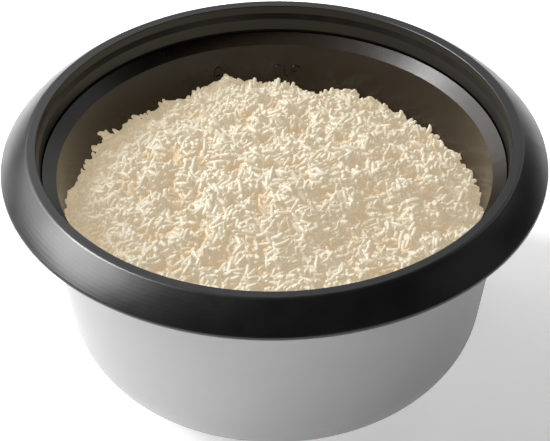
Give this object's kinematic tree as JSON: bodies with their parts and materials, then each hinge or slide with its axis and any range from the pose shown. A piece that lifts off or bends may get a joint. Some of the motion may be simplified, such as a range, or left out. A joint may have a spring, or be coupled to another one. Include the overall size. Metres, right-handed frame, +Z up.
{
  "type": "rice cooker",
  "caption": "Open round rice cooker: tapered shell, broad sloping collar, lift-out pot, cast heating plate, magnetic thermostat and a push-down switch lever.",
  "frame": {"origin": "middle of the plane of the feet, under the centre of the pot", "axes": "+Z up; +Y points at the control panel, so the plain side that the picture shows faces -Y; the power inlet is 30 degrees from +X towards +Y"},
  "size_m": [0.2999, 0.3, 0.148],
  "materials": {
    "shell_paint": "matte silver-white paint",
    "collar_plastic": "satin charcoal, fine texture",
    "pot_coating": "dark brown non-stick coating",
    "cooked_rice": "steamed grains, moist sheen",
    "shield_aluminium": "drawn sheet",
    "cast_aluminium": "turned casting",
    "cap_aluminium": "pressed sheet, satin",
    "plated_steel": "zinc plated",
    "steel_screw": "nickel plated",
    "spring_steel": "drawn wire",
    "element_steel": "oxidised sheath",
    "ferrite": "sintered, matte",
    "brass_tab": "stamped",
    "foot_rubber": "matte",
    "knob_plastic": "satin",
    "panel_plastic": "satin, fine texture",
    "case_plastic": "phenolic",
    "button_plastic": "gloss",
    "white_ceramic": "glazed",
    "red_lens": "clear tinted",
    "amber_lens": "clear tinted",
    "board_green": "solder mask",
    "bulb_glass": "clear",
    "brown_wire": "silicone sleeve",
    "blue_wire": "silicone sleeve",
    "green_wire": "green and yellow sleeve",
    "red_wire": "silicone sleeve",
    "cream_wire": "glass-fibre sleeve"
  },
  "bodies": {
    "housing": {"outer_shell": "shell_paint", "collar": "collar_plastic", "collar_screws": "steel_screw", "heat_shield": "shield_aluminium", "base_plate": "plated_steel", "base_screws": "steel_screw", "feet": "foot_rubber", "support_posts": "plated_steel", "post_screws": "steel_screw", "heating_plate": "cast_aluminium", "heating_element": "element_steel", "element_terminals": "brass_tab", "plate_spacers": "plated_steel", "plate_screws": "steel_screw", "sensor_guide": "plated_steel", "guide_screws": "steel_screw", "lever_pin": "steel_screw", "switch_bracket": "plated_steel", "bracket_screws": "steel_screw", "micro_switch": "case_plastic", "switch_terminals": "brass_tab", "keep_warm_thermostat": "case_plastic", "thermal_fuse": "white_ceramic", "fuse_clip": "plated_steel", "terminal_block": "white_ceramic", "earth_screw": "brass_tab", "control_panel": "panel_plastic", "panel_screws": "steel_screw", "cook_lamp_lens": "red_lens", "warm_lamp_lens": "amber_lens", "lamp_board": "board_green", "indicator_bulbs": "bulb_glass", "power_inlet": "panel_plastic", "inlet_pins": "brass_tab", "inlet_screws": "steel_screw", "live_wire": "brown_wire", "neutral_wire": "blue_wire", "earth_wire": "green_wire", "element_wire": "red_wire", "lamp_wires": "cream_wire"},
    "pot": {"inner_pot": "pot_coating"},
    "sensor": {"sensor_cap": "cap_aluminium", "ferrite_disc": "ferrite", "sensor_spring": "spring_steel"},
    "magnet_carrier": {"magnet": "ferrite", "magnet_rod": "plated_steel", "magnet_spring": "spring_steel"},
    "lever": {"switch_lever": "plated_steel", "lever_knob": "knob_plastic"},
    "button": {"switch_button": "button_plastic"}
  },
  "joints": [
    {"name": "pot_lift", "type": "slide", "parent": "housing", "child": "pot", "axis": [0, 0, 1], "range_m": [0, 0.16]},
    {"name": "sensor_travel", "type": "slide", "parent": "housing", "child": "sensor", "axis": [0, 0, 1], "range_m": [0, 0.003], "deforming": ["sensor_spring"]},
    {"name": "lever_pivot", "type": "hinge", "parent": "housing", "child": "lever", "pos_m": [0, 0.048, 0.0147], "axis": [-1, 0, 0], "range_deg": [0, 7.1], "stiffness_Nm_per_rad": 1.5, "springref_deg": -5.73},
    {"name": "magnet_travel", "type": "slide", "parent": "housing", "child": "magnet_carrier", "axis": [0, 0, 1], "range_m": [0, 0.00595], "deforming": ["magnet_spring"]},
    {"name": "button_travel", "type": "slide", "parent": "housing", "child": "button", "axis": [0, 0, -1], "range_m": [0, 0.00273]}
  ],
  "couplings": [
    {"joint": "sensor_travel", "follows": "pot_lift", "ratio": 0.01875},
    {"joint": "magnet_travel", "follows": "lever_pivot", "m_per_rad": 0.048},
    {"joint": "button_travel", "follows": "lever_pivot", "m_per_rad": 0.022}
  ]
}
